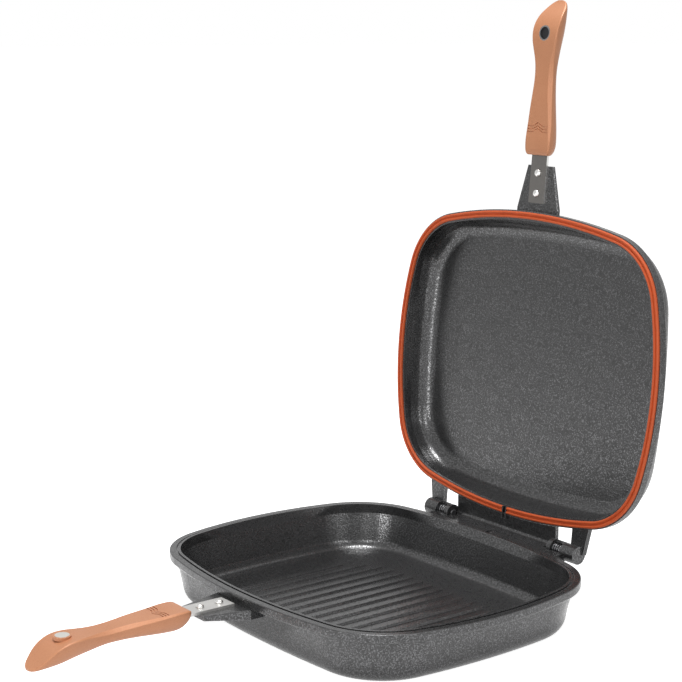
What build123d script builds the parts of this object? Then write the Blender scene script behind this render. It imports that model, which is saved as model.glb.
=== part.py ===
from build123d import *
import os
from collections import namedtuple
from math import asin, atan2, cos, degrees, hypot, pi, radians, sin, sqrt, tan

# Double sided flip pan, in millimetres.
# The origin is the centre of the lower pan's base. +Z is up, +Y runs back to the hinge and -Y out
# along the handles. The pan is modelled standing open, with the lid just past upright on its stop.
#
# The two halves meet at the seam, the plane of the lower pan's lip. Each half has a frame there:
# its z runs away from the seam into that half, its y runs back to the hinge. Depths are measured
# along that z, so the straps, grips and bosses of both halves come from the same functions.

# ------------------------------------------------------------------ driving dimensions
half_width = 160.0  # of the lower rim
half_depth = 131.5
overlap = 1.0  # how far parts of one casting, and cutters, run past the face they meet

# Plan shape: bowed sides joined by round corners, as half width, half depth and radii.
Plan = namedtuple("Plan", "half_width half_depth end_bow side_bow corner")
rim_plan = Plan(half_width=half_width, half_depth=half_depth, end_bow=495.0, side_bow=296.0, corner=65.5)
body_inset = 9.6  # body wall stands in from the rim's outer edge, at the side
body_end_bow = 1030.0
body_side_bow = 580.0
body_corner = 63.0

lower_depth = 43.0  # lip to base
lid_depth = 30.0  # seam to the lid's back
wall = 3.8
floor_thickness = 4.2
lid_floor_thickness = 3.7
draft = 12.0  # degrees
lower_bottom_radius = 13.0
lower_foot_radius = 9.0  # inside, between wall and floor
lid_wall = 2.8
lid_body_inset = 1.0  # the lid's body stands in further than the lower one's
lid_bottom_radius = 17.0
lid_foot_radius = 13.7

# Rim of the lower pan: lip, groove and flat land, from the inside out.
rim_width = 9.0
rim_height = 8.0
rim_edge_radius = 0.8
rim_under_radius = 2.4
lip_width = 2.1
groove_width = 1.6
groove_depth = 1.5
land_drop = 0.4

# Rim of the lid, with the channel that holds the seal.
lid_gap = 2.2
lid_rim_inset = 2.4
channel_inset = 3.5
channel_width = 5.7
channel_depth = 4.0
channel_wall = 1.6
seal_clearance = 0.05
seal_tip = 0.3  # seal tips stand this far from the lip when the pan is shut
seal_rib = 2.2
seal_valley = 1.5
seal_break = 5.4
fin_thickness = 1.1
fin_reach = 3.9  # past the lid's rim
fin_depth = 1.6
fin_clearance = 0.1

# Cooking floor of the lower pan.
rib_pitch = 12.8
rib_width = 5.2
rib_height = 1.5
rib_taper = 35.0  # degrees
rib_field_side_gap = 45.0  # from the wall to the field of ribs
rib_field_end_gap = 37.1
rib_field_shift = -9.0
rib_field_corner = 46.0
rib_field_margin = 2.0

# Hinge. From the pin outwards: the spring round it, the chamber round that, the barrel's wall.
hinge_setback = 10.5  # behind the lower rim
hinge_drop = 0.9  # below the seam
open_angle = 95.0
knuckle_inner = 62.0
pin_radius = 3.0
pin_clearance = 0.05
pin_chamfer = 0.4
pin_stub = 1.0  # past the knuckle's inner face
pin_engagement = 5.2
pin_spare_travel = 0.2  # past the point where the pin leaves the barrel
spring_wire = 0.8
spring_turns = 4
spring_slack = 0.1  # left between turns, added up, when the pin is drawn right in
spring_gap = 0.1
spring_inner_gap = 0.6
chamber_gap = 0.8  # outside the spring
chamber_inner_wall = 4.0
chamber_outer_wall = 1.8
collar_side_gap = 0.5
collar_thickness = 1.2
collar_gap = 0.1
barrel_wall = 2.2
barrel_gap = 0.4
barrel_end_length = 7.7  # past the end of the pin
lug_root_extra = 5.1  # wider than the barrel is long
lug_tip_extra = 1.1
lug_root_reach = 15.5  # forward of the lower rim's outer edge
knuckle_web_reach = 11.5
window_half_angle = 60.0  # degrees
window_tilt = 52.0  # degrees from straight ahead, towards the top

# Drip tray behind the lower rim.
tray_end_gap = 1.0  # to the knuckles
tray_drop = 1.5
tray_bend = 3.0
tray_wall = 3.4
tray_wall_setback = 4.6  # behind the hinge line
tray_wall_height = 20.0
stop_clearance = 0.35
tray_groove_end_gap = 17.0
tray_groove_width = 1.0
tray_groove_depth = 0.8
tray_groove_setbacks = (4.0, 6.6, 9.2)  # behind the rim
pocket_gap = 0.8  # round the pin
spout_radius = 3.8
spout_setback = 2.8
spout_height = 3.0
drain_width = 3.0

# Strap, the boss that carries it, and its rivets. How far out is measured from the rim's end.
strap_drop = 5.2  # behind each half's own rim face
strap_thickness = 2.2
strap_width = 18.0
strap_seat = 0.3  # how far the strap is let into the boss
strap_root_out = 4.5
strap_shoulder_out = 45.5
strap_tip_out = 94.5
strap_tip_taper = 4.0  # narrower on each side
boss_tip_cheek = 6.3  # past the strap, each side
boss_root_cheek = 15.5
boss_tip_out = 35.7
boss_root_reach = 13.5  # inwards from the rim's end
boss_chamfer = 0.9
lower_boss_tip = 3.6  # thickness at the tip and at the rim
lower_boss_root = 7.6
lid_boss_tip = 1.9
lid_boss_root = 2.8
channel_side_gap = 0.1
rivet_radius = 2.0
rivet_head_radius = 3.3
rivet_head_height = 2.5
rivet_tail_radius = 3.0
rivet_tail_height = 1.1
rivet_tail_gap = 0.6
rivet_setbacks = (6.2, 23.2)  # from the boss tip, towards the pan
rivet_grip = 1.0  # metal under the strap

# Grip, by sections along its length: how far out, how deep its face lies behind the strap's face
# and its back behind the strap's back, how far it stands out past the strap's sides, and the width
# of the bevel between face and side.
Section = namedtuple("Section", "out face back side bevel")
grip_sections = (
    Section(44.2, -3.0, 3.2, 2.8, 0.6),
    Section(46.2, -4.2, 6.8, 4.4, 0.8),
    Section(50.0, -4.6, 9.4, 5.2, 1.1),
    Section(57.0, -4.6, 10.3, 5.5, 1.4),
    Section(67.6, -4.1, 9.7, 5.0, 1.9),
    Section(79.0, -3.9, 8.7, 4.1, 2.4),
    Section(90.5, -3.6, 7.8, 3.1, 2.9),
    Section(102.0, -2.9, 7.4, 2.1, 3.1),
    Section(113.4, -2.3, 7.8, 1.7, 2.8),
    Section(124.8, -2.2, 9.6, 2.5, 1.9),
    Section(136.3, -2.5, 11.3, 4.7, 1.1),
    Section(147.7, -1.2, 13.4, 5.7, 0.8),
    Section(159.2, 4.4, 14.3, 4.5, 0.8),
    Section(166.0, 10.2, 14.4, 1.6, 0.8),
    Section(169.4, 12.9, 14.3, -1.4, 0.7),
    Section(171.0, 13.9, 14.1, -4.2, 0.6),
    Section(171.8, 14.2, 13.7, -6.4, 0.5),
)
bevel_slope = 0.8
grip_edge_radius = 0.4
upper_grip_lean = 2.6  # degrees towards the seam
lean_start_out = 50.0
wave_outs = (63.2, 65.6, 68.0)
wave_half_length = 12.0
wave_peak = 5.5  # half the width of the peak's foot
wave_height = 2.8
wave_line = 0.9
wave_depth = 0.8
screw_out = 79.5
screw_radius = 2.0
screw_head_radius = 3.6
screw_head_height = 2.4
screw_recess_gap = 0.4
screw_land = 2.2  # plastic between the strap and the head
screw_tip_past_strap = 0.6
screw_slot_length = 4.2
screw_slot_width = 0.9
screw_slot_depth = 1.2
latch_out = 143.8
latch_pad_height = 2.2
latch_pad_rim = 1.3  # round the plate
latch_plate_radius = 5.3
latch_plate_thickness = 1.6
latch_plate_rise = 0.3  # above its pad
latch_cup_radius = 6.2
latch_cup_rise = 0.3  # above the grip's face
latch_cup_thickness = 3.6
latch_cup_wall = 1.1
magnet_recess = 1.2

# ------------------------------------------------------------------ frames and plan shapes
seam_z = lower_depth
lower_seam = Plane(origin=(0, 0, seam_z), x_dir=(-1, 0, 0), z_dir=(0, 0, -1))
lid_y = Vector(0, 1, 0).rotate(Axis.X, -open_angle)
lid_z = Vector(0, 0, 1).rotate(Axis.X, -open_angle)
hinge_y = half_depth + hinge_setback
hinge_z = seam_z - hinge_drop
lid_origin = Vector(0, hinge_y, hinge_z) - lid_y * hinge_y + lid_z * hinge_drop
lid_seam = Plane(origin=lid_origin, x_dir=(1, 0, 0), z_dir=lid_z)

# What differs between the halves where the handle is fixed: depths are from the seam.
Half = namedtuple("Half", "seam strap_depth boss_tip boss_root lean")
lower_half = Half(lower_seam, strap_drop, lower_boss_tip, lower_boss_root, 0)
lid_half = Half(lid_seam, lid_gap + strap_drop, lid_boss_tip, lid_boss_root, upper_grip_lean)


def side_plane(seam):
    """The half's middle plane: across is y, up the sketch is depth."""
    return Plane(origin=seam.origin, x_dir=seam.y_dir, z_dir=seam.x_dir)


def cross_plane(seam, y):
    """A plane square to the handle at y: across is x, up the sketch is depth."""
    return Plane(origin=seam.from_local_coords((0, y, 0)), x_dir=seam.x_dir, z_dir=-seam.y_dir)


def depth_axis(seam):
    return Axis(seam.origin, seam.z_dir)


def bowed_outline(plan, inset=0.0, mode=Mode.ADD):
    """Four bowed sides and four tangent corners, moved in by inset. The centres stay put."""
    side_centre = plan.half_width - plan.side_bow
    end_centre = plan.half_depth - plan.end_bow
    span = hypot(side_centre, end_centre)
    side_reach = plan.side_bow - plan.corner
    end_reach = plan.end_bow - plan.corner
    along = (side_reach**2 - end_reach**2 + span**2) / (2 * span)
    across = sqrt(side_reach**2 - along**2)
    corner_x = side_centre - along * side_centre / span - across * end_centre / span
    corner_y = along * end_centre / span - across * side_centre / span
    low = degrees(atan2(corner_y, corner_x - side_centre))
    high = degrees(atan2(corner_y - end_centre, corner_x))
    with BuildLine() as edge:
        for turn in (0, 180):
            way = 1 if turn == 0 else -1
            CenterArc((way * side_centre, 0), plan.side_bow - inset, turn - low, 2 * low)
            CenterArc((0, way * end_centre), plan.end_bow - inset, turn + high, 180 - 2 * high)
            corner = plan.corner - inset
            CenterArc((way * corner_x, way * corner_y), corner, turn + low, high - low)
            CenterArc((-way * corner_x, way * corner_y), corner, turn + 180 - high, high - low)
    make_face(edge.edges(), mode=mode)


def slab(seam, plan, inset, top, bottom):
    with BuildSketch(seam.offset(top)) as shape:
        bowed_outline(plan, inset)
    extrude(shape.sketch, amount=bottom - top)


def ring(seam, plan, outer_inset, inner_inset, top, bottom, mode=Mode.ADD):
    """A band that follows the plan shape, between two insets and two depths."""
    with BuildSketch(seam.offset(top)) as shape:
        bowed_outline(plan, outer_inset)
        bowed_outline(plan, inner_inset, Mode.SUBTRACT)
    extrude(shape.sketch, amount=bottom - top, mode=mode)


body_plan = Plan(
    half_width=rim_plan.half_width - body_inset,
    half_depth=half_depth - body_inset,
    end_bow=body_end_bow,
    side_bow=body_side_bow,
    corner=body_corner,
)


def cavity(seam, mouth_inset, mouth, throat, floor, wall_inset, foot_radius):
    """The space inside one half: a throat below the rim, then drafted walls and a round foot."""
    with BuildSketch(seam.offset(throat)) as shape:
        bowed_outline(body_plan, wall_inset)
    extrude(shape.sketch, amount=floor - throat, taper=draft)
    fillet(faces().sort_by(depth_axis(seam))[-1].edges(), foot_radius)
    with BuildSketch(seam.offset(mouth)) as top:
        bowed_outline(rim_plan, mouth_inset)
    with BuildSketch(seam.offset(throat)) as bottom:
        bowed_outline(body_plan, wall_inset)
    loft([top.sketch, bottom.sketch], ruled=True)


def body(seam, inset, start, depth, bottom_radius):
    with BuildSketch(seam.offset(start)) as shape:
        bowed_outline(body_plan, inset)
    extrude(shape.sketch, amount=depth - start, taper=draft)
    fillet(faces().sort_by(depth_axis(seam))[-1].edges(), bottom_radius)


# ------------------------------------------------------------------ straps and rivets
boss_tip_y = -half_depth - boss_tip_out
boss_root_y = boss_root_reach - half_depth
strap_root_y = -half_depth - strap_root_out
strap_half = strap_width / 2
rivet_places = [boss_tip_y + setback for setback in rivet_setbacks]
screw_y = -half_depth - screw_out
latch_y = -half_depth - latch_out


def disc_at(seam, y, radius, top, bottom, mode=Mode.ADD):
    with BuildSketch(seam.offset(top)) as shape:
        with Locations((0, y)):
            Circle(radius)
    extrude(shape.sketch, amount=bottom - top, mode=mode)


def strap(half):
    """Flat bar with a tapered tail inside the grip, and holes for its rivets and screw."""
    seam, top, bottom = half.seam, half.strap_depth, half.strap_depth + strap_thickness
    shoulder_y, tip_y = -half_depth - strap_shoulder_out, -half_depth - strap_tip_out
    tip_half = strap_half - strap_tip_taper
    with BuildSketch(seam.offset(top)) as shape:
        with BuildLine():
            Polyline(
                (-strap_half, strap_root_y),
                (strap_half, strap_root_y),
                (strap_half, shoulder_y),
                (tip_half, tip_y),
                (-tip_half, tip_y),
                (-strap_half, shoulder_y),
                close=True,
            )
        make_face()
    extrude(shape.sketch, amount=strap_thickness)
    for y in rivet_places:
        disc_at(seam, y, rivet_radius, top, bottom, Mode.SUBTRACT)
    disc_at(seam, screw_y, screw_radius, top, bottom, Mode.SUBTRACT)


def rivets(half):
    """Domed heads on the strap, shanks through strap and boss, flat tails below."""
    seat = half.strap_depth + strap_thickness + rivet_grip
    dome_radius = (rivet_head_radius**2 + rivet_head_height**2) / (2 * rivet_head_height)
    half_way = asin(rivet_head_radius / dome_radius) / 2
    dome_top = half.strap_depth - rivet_head_height
    for y in rivet_places:
        with BuildSketch(side_plane(half.seam)) as shape:
            with BuildLine():
                ThreePointArc(
                    (y, dome_top),
                    (y + dome_radius * sin(half_way), dome_top + dome_radius * (1 - cos(half_way))),
                    (y + rivet_head_radius, half.strap_depth),
                )
                Polyline(
                    (y + rivet_head_radius, half.strap_depth),
                    (y + rivet_radius, half.strap_depth),
                    (y + rivet_radius, seat),
                    (y + rivet_tail_radius, seat),
                    (y + rivet_tail_radius, seat + rivet_tail_height),
                    (y, seat + rivet_tail_height),
                    (y, dome_top),
                )
            make_face()
        centre = half.seam.from_local_coords((0, y, 0))
        revolve(shape.sketch, axis=Axis(centre, half.seam.z_dir))


def boss_face(half):
    """Depth of the boss's face: the strap is let into it by its seat."""
    return half.strap_depth + strap_thickness - strap_seat


def boss(half):
    """The wedge that carries the strap, chamfered along its top edges."""
    seam, top = half.seam, boss_face(half)
    root, tip = strap_half + boss_root_cheek, strap_half + boss_tip_cheek
    with BuildSketch(seam.offset(top)) as shape:
        with BuildLine():
            Polyline(
                (-root, boss_root_y),
                (root, boss_root_y),
                (root, -half_depth),
                (tip, boss_tip_y),
                (-tip, boss_tip_y),
                (-root, -half_depth),
                close=True,
            )
        make_face()
    extrude(shape.sketch, amount=half.boss_root)
    with BuildSketch(side_plane(seam)) as shape:
        with BuildLine():
            Polyline(
                (boss_root_y + overlap, top),
                (boss_root_y + overlap, top + half.boss_root),
                (-half_depth, top + half.boss_root),
                (boss_tip_y, top + half.boss_tip),
                (boss_tip_y, top),
                close=True,
            )
        make_face()
    extrude(shape.sketch, amount=2 * root, both=True, mode=Mode.INTERSECT)
    face = faces().sort_by(depth_axis(seam))[0]
    chamfer(face.edges().filter_by(lambda e: abs(e.tangent_at(0.5).dot(seam.x_dir)) < 0.9), boss_chamfer)


def boss_channel(half):
    """Seat of the strap, and the holes and spot faces of its rivets."""
    seam, seat = half.seam, half.strap_depth + strap_thickness
    length = strap_root_y - boss_tip_y + overlap
    with BuildSketch(seam.offset(half.strap_depth)) as shape:
        with Locations((0, strap_root_y - length / 2)):
            Rectangle(strap_width + 2 * channel_side_gap, length)
    extrude(shape.sketch, amount=strap_thickness, mode=Mode.SUBTRACT)
    spot_face = seat + rivet_grip
    for y in rivet_places:
        disc_at(seam, y, rivet_radius, seat, spot_face, Mode.SUBTRACT)
        disc_at(seam, y, rivet_tail_radius + rivet_tail_gap, spot_face, seat + half.boss_root, Mode.SUBTRACT)


with BuildPart() as lower_strap:
    strap(lower_half)
lower_strap.part.label = "lower_strap"

with BuildPart() as upper_strap:
    strap(lid_half)
upper_strap.part.label = "upper_strap"

with BuildPart() as lower_strap_rivets:
    rivets(lower_half)
lower_strap_rivets.part.label = "lower_strap_rivets"

with BuildPart() as upper_strap_rivets:
    rivets(lid_half)
upper_strap_rivets.part.label = "upper_strap_rivets"

with BuildPart() as lower_boss:
    boss(lower_half)

with BuildPart() as upper_boss:
    boss(lid_half)


# ------------------------------------------------------------------ hinge pieces
pin_travel = pin_engagement + barrel_gap + pin_spare_travel
spring_length = pin_travel + (spring_turns + 1) * spring_wire + spring_slack
spring_radius = pin_radius + spring_inner_gap + spring_wire / 2
chamber_radius = spring_radius + spring_wire / 2 + chamber_gap
collar_radius = chamber_radius - collar_side_gap
barrel_radius = chamber_radius + barrel_wall
chamber_start = knuckle_inner + chamber_inner_wall
collar_start = chamber_start + spring_length + 2 * spring_gap
collar_end = collar_start + collar_thickness
chamber_end = collar_end + collar_gap
knuckle_outer = chamber_end + chamber_outer_wall
knuckle_length = knuckle_outer - knuckle_inner
barrel_start = knuckle_outer + barrel_gap
barrel_length = pin_engagement + barrel_end_length
barrel_end = barrel_start + barrel_length
pin_start = knuckle_inner - pin_stub
pin_end = barrel_start + pin_engagement
spring_start = chamber_start + spring_gap + spring_wire / 2
spring_end = collar_start - spring_gap - spring_wire / 2
SIDES = {"left": -1, "right": 1}


def hinge_section(side, x):
    """A plane square to the hinge line at x on one side, its normal pointing outwards."""
    return Plane(origin=(side * x, hinge_y, hinge_z), x_dir=(0, 1, 0), z_dir=(side, 0, 0))


def hinge_disc(side, start, end, radius, mode=Mode.ADD):
    with BuildSketch(hinge_section(side, start)) as shape:
        Circle(radius)
    extrude(shape.sketch, amount=end - start, mode=mode)


pins, collars, springs = {}, {}, {}
for name, side in SIDES.items():
    with BuildPart() as pin:
        hinge_disc(side, pin_start, pin_end, pin_radius)
        chamfer(edges().filter_by(GeomType.CIRCLE), pin_chamfer)
    pin.part.label = f"{name}_hinge_pin"
    pins[name] = pin

    with BuildPart() as collar:
        hinge_disc(side, collar_start, collar_end, collar_radius)
        hinge_disc(side, collar_start, collar_end, pin_radius, Mode.SUBTRACT)
    collar.part.label = f"{name}_pin_collar"
    collars[name] = collar


def coil_point(side, quarter_turns):
    """A point on the spring's centre line, counted in quarter turns from its inner end."""
    angle = quarter_turns * pi / 2
    advance = (spring_end - spring_start) * quarter_turns / (4 * spring_turns)
    return (
        side * (spring_start + advance),
        hinge_y + spring_radius * cos(angle),
        hinge_z + spring_radius * sin(angle),
    )


for name, side in SIDES.items():
    with BuildPart() as spring:
        with BuildLine() as coil:
            for quarter in range(4 * spring_turns):
                ThreePointArc(
                    coil_point(side, quarter),
                    coil_point(side, quarter + 0.5),
                    coil_point(side, quarter + 1),
                )
        start = coil.edges().sort_by(lambda e: abs(e.center().X))[0]
        with BuildSketch(Plane(origin=start @ 0, z_dir=start % 0)):
            Circle(spring_wire / 2)
        sweep(path=coil.wire())
    spring.part.label = f"{name}_hinge_spring"
    springs[name] = spring
spring_pitch = (spring_end - spring_start) / spring_turns
print(f"spring gap between turns {spring_pitch - spring_wire:.2f}, to the pin "
      f"{spring_radius - spring_wire / 2 - pin_radius:.2f}")

# ------------------------------------------------------------------ lower pan
lower_floor = lower_depth - floor_thickness
last_rib_reach = body_plan.half_width - wall - rib_field_side_gap - rib_width / 2 - rib_field_margin
rib_count = 2 * int(last_rib_reach / rib_pitch + 0.5)
rib_field = (rib_count - 1) * rib_pitch / 2 + rib_width / 2 + rib_field_margin
rib_field_half_depth = body_plan.half_depth - wall - rib_field_end_gap


def rib_half_length(x):
    """Half the length of the rib at x: the field of ribs has round corners."""
    into_corner = abs(x) - (rib_field - rib_field_corner)
    if into_corner <= 0:
        return rib_field_half_depth
    rise = sqrt(rib_field_corner**2 - into_corner**2)
    return rib_field_half_depth - rib_field_corner + rise


with BuildPart() as lower_cavity:
    cavity(lower_seam, rim_width, 0, rim_height, lower_floor, wall, lower_foot_radius)

tray_half_width = knuckle_inner - tray_end_gap
tray_wall_y = hinge_y + tray_wall_setback

# The lid's rim as it stands open, with room to spare: it trims the tray's back wall.
with BuildPart() as lid_rim_path:
    with BuildSketch(lid_seam.offset(lid_gap - stop_clearance)):
        bowed_outline(rim_plan, lid_rim_inset - stop_clearance)
    extrude(amount=rim_height + 2 * stop_clearance)


def tray():
    """Ledge behind the rim that bends up into a back wall, drawn from the side."""
    ledge = -tray_drop
    outer_bend = tray_bend + tray_wall
    bend_y = tray_wall_y - tray_bend
    bend_z = ledge + tray_bend
    start_y = half_depth - spout_setback
    with BuildSketch(Plane(origin=(0, 0, seam_z), x_dir=(0, 1, 0), z_dir=(1, 0, 0))) as shape:
        with BuildLine():
            Line((start_y, ledge), (bend_y, ledge))
            CenterArc((bend_y, bend_z), tray_bend, -90, 90)
            Polyline(
                (tray_wall_y, bend_z),
                (tray_wall_y, tray_wall_height),
                (tray_wall_y + tray_wall, tray_wall_height),
                (tray_wall_y + tray_wall, bend_z),
            )
            CenterArc((bend_y, bend_z), outer_bend, 0, -90)
            Polyline((bend_y, bend_z - outer_bend), (start_y, bend_z - outer_bend), (start_y, ledge))
        make_face()
    extrude(shape.sketch, amount=tray_half_width, both=True)
    add(lid_rim_path.part, mode=Mode.SUBTRACT)
    with BuildSketch(Plane.XY.offset(seam_z - tray_drop)) as shape:
        with Locations(*[(0, half_depth + s) for s in tray_groove_setbacks]):
            SlotOverall(2 * (tray_half_width - tray_groove_end_gap), tray_groove_width)
    extrude(shape.sketch, amount=-tray_groove_depth, mode=Mode.SUBTRACT)
    pocket_start, pocket_end = pin_start - pin_travel - overlap, tray_half_width + overlap
    for side in SIDES.values():
        hinge_disc(side, pocket_start, pocket_end, pin_radius + pocket_gap, Mode.SUBTRACT)


def knuckle(side):
    """Round knuckle on a web, bored for the pin, with a chamber for the spring."""
    hinge_disc(side, knuckle_inner, knuckle_outer, barrel_radius)
    web_y = hinge_setback + knuckle_web_reach
    with BuildSketch(Plane.XY.offset(seam_z - tray_drop)) as shape:
        with Locations((side * (knuckle_inner + knuckle_length / 2), hinge_y - web_y / 2)):
            Rectangle(knuckle_length, web_y)
    extrude(shape.sketch, amount=tray_drop - hinge_drop - barrel_radius)
    hinge_disc(side, knuckle_inner, knuckle_outer, pin_radius + pin_clearance, Mode.SUBTRACT)
    hinge_disc(side, chamber_start, chamber_end, chamber_radius, Mode.SUBTRACT)


def knuckle_window(side):
    """The sector of the knuckle's shell that is open to the front and top."""
    middle = 180 - window_tilt
    reach = 2 * barrel_radius
    low, high = radians(middle - window_half_angle), radians(middle + window_half_angle)
    plane = Plane(origin=(side * chamber_start, hinge_y, hinge_z), x_dir=(0, 1, 0), z_dir=(1, 0, 0))
    with BuildSketch(plane) as shape:
        with BuildLine():
            Polyline(
                (0, 0),
                (reach * cos(low), reach * sin(low)),
                (reach * cos(radians(middle)), reach * sin(radians(middle))),
                (reach * cos(high), reach * sin(high)),
                close=True,
            )
        make_face()
    extrude(shape.sketch, amount=side * (chamber_end - chamber_start), mode=Mode.SUBTRACT)


with BuildPart() as back_castings:
    tray()
    for side in SIDES.values():
        knuckle(side)
        knuckle_window(side)


def rim_block(seam, inset, top, bottom):
    """The thick rim, rounded below."""
    slab(seam, rim_plan, inset, top, bottom)
    fillet(faces().sort_by(depth_axis(seam))[-1].edges(), rim_under_radius)


def ribs():
    """Tapered ribs with round ends, in a field with round corners."""
    first = -(rib_count - 1) / 2
    for number in range(rib_count):
        x = (first + number) * rib_pitch
        with BuildSketch(Plane.XY.offset(floor_thickness)) as shape:
            with Locations((x, rib_field_shift)):
                SlotOverall(2 * rib_half_length(x), rib_width, rotation=90)
        extrude(shape.sketch, amount=rib_height, taper=rib_taper)


with BuildPart() as lower_rim:
    rim_block(lower_seam, 0, land_drop, rim_height)
    fillet(faces().sort_by(depth_axis(lower_seam))[0].edges(), rim_edge_radius)

spout_place = (0, half_depth - spout_setback)
lip_inset = rim_width - lip_width
with BuildPart() as lower_pan:
    body(lower_seam, 0, rim_height - overlap, lower_depth, lower_bottom_radius)
    add(lower_rim.part)
    slab(lower_seam, rim_plan, lip_inset, 0, rim_height)
    add(lower_boss.part)
    add(back_castings.part)
    add(lower_cavity.part, mode=Mode.SUBTRACT)
    with BuildSketch(lower_seam):
        with Locations(spout_place):
            Circle(spout_radius)
    extrude(amount=spout_height)
    ring(lower_seam, rim_plan, lip_inset - groove_width, lip_inset, 0, groove_depth, Mode.SUBTRACT)
    drain_length = spout_setback + spout_radius + tray_groove_setbacks[0]
    drain_y = half_depth + tray_groove_setbacks[0] - drain_length / 2
    with BuildSketch(lower_seam):
        with Locations((0, drain_y)):
            Rectangle(drain_width, drain_length)
    extrude(amount=tray_drop, mode=Mode.SUBTRACT)
    boss_channel(lower_half)
    ribs()
lower_pan.part.label = "lower_pan"

# ------------------------------------------------------------------ lid
lid_rim_bottom = lid_gap + rim_height
mouth_inset = channel_inset + channel_width + channel_wall
channel_floor = lid_gap + channel_depth

with BuildPart() as lid_cavity:
    lid_floor = lid_depth - lid_floor_thickness
    wall_inset = lid_body_inset + lid_wall
    cavity(lid_seam, mouth_inset, lid_gap, lid_rim_bottom, lid_floor, wall_inset, lid_foot_radius)

with BuildPart() as lid_rim:
    rim_block(lid_seam, lid_rim_inset, lid_gap, lid_rim_bottom)


def lug(side):
    """Arm from the rim to a blind barrel that turns on the hinge pin."""
    inner = side * barrel_start
    root_x = inner + side * (barrel_length + lug_root_extra)
    tip_x = inner + side * (barrel_length + lug_tip_extra)
    lug_root_y = half_depth - lug_root_reach
    with BuildSketch(lid_seam.offset(lid_gap)) as shape:
        with BuildLine():
            Polyline(
                (inner, lug_root_y),
                (root_x, lug_root_y),
                (root_x, half_depth - mouth_inset),
                (tip_x, hinge_y),
                (inner, hinge_y),
                close=True,
            )
        make_face()
    extrude(shape.sketch, amount=barrel_radius - hinge_drop - lid_gap)
    hinge_disc(side, barrel_start, barrel_end, barrel_radius)
    hinge_disc(side, barrel_start, pin_end + overlap, pin_radius + pin_clearance, Mode.SUBTRACT)


def drain_fin(side):
    """Thin fin at the seal's break. Its tongue hangs over the rim and guides drops to the tray."""
    middle = side * (seal_break / 2 - fin_clearance - fin_thickness / 2)
    rim_y = half_depth - lid_rim_inset
    inner_y = half_depth - channel_inset - channel_width
    for end_y, top, bottom in (
        (rim_y - fin_clearance, lid_gap - fin_depth, channel_floor),
        (rim_y + fin_reach, lid_gap - fin_depth, lid_gap),
    ):
        with BuildSketch(lid_seam.offset(top)) as shape:
            with Locations((middle, (inner_y + end_y) / 2)):
                Rectangle(fin_thickness, end_y - inner_y)
        extrude(shape.sketch, amount=bottom - top)


with BuildPart() as upper_pan:
    body(lid_seam, lid_body_inset, lid_rim_bottom - overlap, lid_depth, lid_bottom_radius)
    add(lid_rim.part)
    add(upper_boss.part)
    for side in SIDES.values():
        lug(side)
    add(lid_cavity.part, mode=Mode.SUBTRACT)
    channel_edge = channel_inset + channel_width
    ring(lid_seam, rim_plan, channel_inset, channel_edge, lid_gap, channel_floor, Mode.SUBTRACT)
    for side in SIDES.values():
        drain_fin(side)
    boss_channel(lid_half)
upper_pan.part.label = "upper_pan"

with BuildPart() as silicone_seal:
    outer = channel_inset + seal_clearance
    inner = channel_inset + channel_width - seal_clearance
    valley = seal_tip + seal_valley
    ring(lid_seam, rim_plan, outer, inner, valley, channel_floor)
    ring(lid_seam, rim_plan, outer, outer + seal_rib, seal_tip, valley)
    ring(lid_seam, rim_plan, inner - seal_rib, inner, seal_tip, valley)
    with BuildSketch(lid_seam):
        with Locations((0, half_depth - (outer + inner) / 2)):
            Rectangle(seal_break, channel_width + 2 * overlap)
    extrude(amount=channel_floor, mode=Mode.SUBTRACT)
silicone_seal.part.label = "silicone_seal"


# ------------------------------------------------------------------ grips and latch
def lean_at(half, out):
    """How far the grip has leant towards the seam by this distance out."""
    return tan(radians(half.lean)) * (out - lean_start_out)


def face_depth(half, out):
    """Depth of the grip's face, straight between the sections on either side."""
    for near, far in zip(grip_sections, grip_sections[1:]):
        if near.out <= out <= far.out:
            face = near.face + (far.face - near.face) * (out - near.out) / (far.out - near.out)
            return half.strap_depth + face - lean_at(half, out)


def grip_slice(half, section):
    """Flat face, a bevel each side and a half round back, square to the handle."""
    top = half.strap_depth + section.face - lean_at(half, section.out)
    back = half.strap_depth + strap_thickness + section.back - lean_at(half, section.out)
    side = strap_half + section.side
    shoulder = top + bevel_slope * section.bevel
    with BuildSketch(cross_plane(half.seam, -half_depth - section.out)) as shape:
        with BuildLine():
            Polyline(
                (-side, shoulder),
                (section.bevel - side, top),
                (side - section.bevel, top),
                (side, shoulder),
            )
            EllipticalCenterArc((0, shoulder), side, back - shoulder, arc_size=180)
        make_face()
        fillet(vertices(), grip_edge_radius)
    return shape.sketch


def grip(half, strap_part):
    """Waisted for the fingers, its tip turned away from the seam."""
    seam = half.seam
    loft([grip_slice(half, section) for section in grip_sections])
    add(strap_part, mode=Mode.SUBTRACT)
    for out in wave_outs:
        y = -half_depth - out
        with BuildSketch(seam) as shape:
            with BuildLine():
                Polyline(
                    (-wave_half_length, y),
                    (-wave_peak, y),
                    (0, y - wave_height),
                    (wave_peak, y),
                    (wave_half_length, y),
                )
            trace(line_width=wave_line)
        extrude(shape.sketch, amount=face_depth(half, out) + wave_depth, mode=Mode.SUBTRACT)
    seat = half.strap_depth + strap_thickness + screw_land
    back = seat + max(section.back for section in grip_sections)
    disc_at(seam, screw_y, screw_radius, half.strap_depth - screw_tip_past_strap, seat, Mode.SUBTRACT)
    disc_at(seam, screw_y, screw_head_radius + screw_recess_gap, seat, back, Mode.SUBTRACT)


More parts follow.
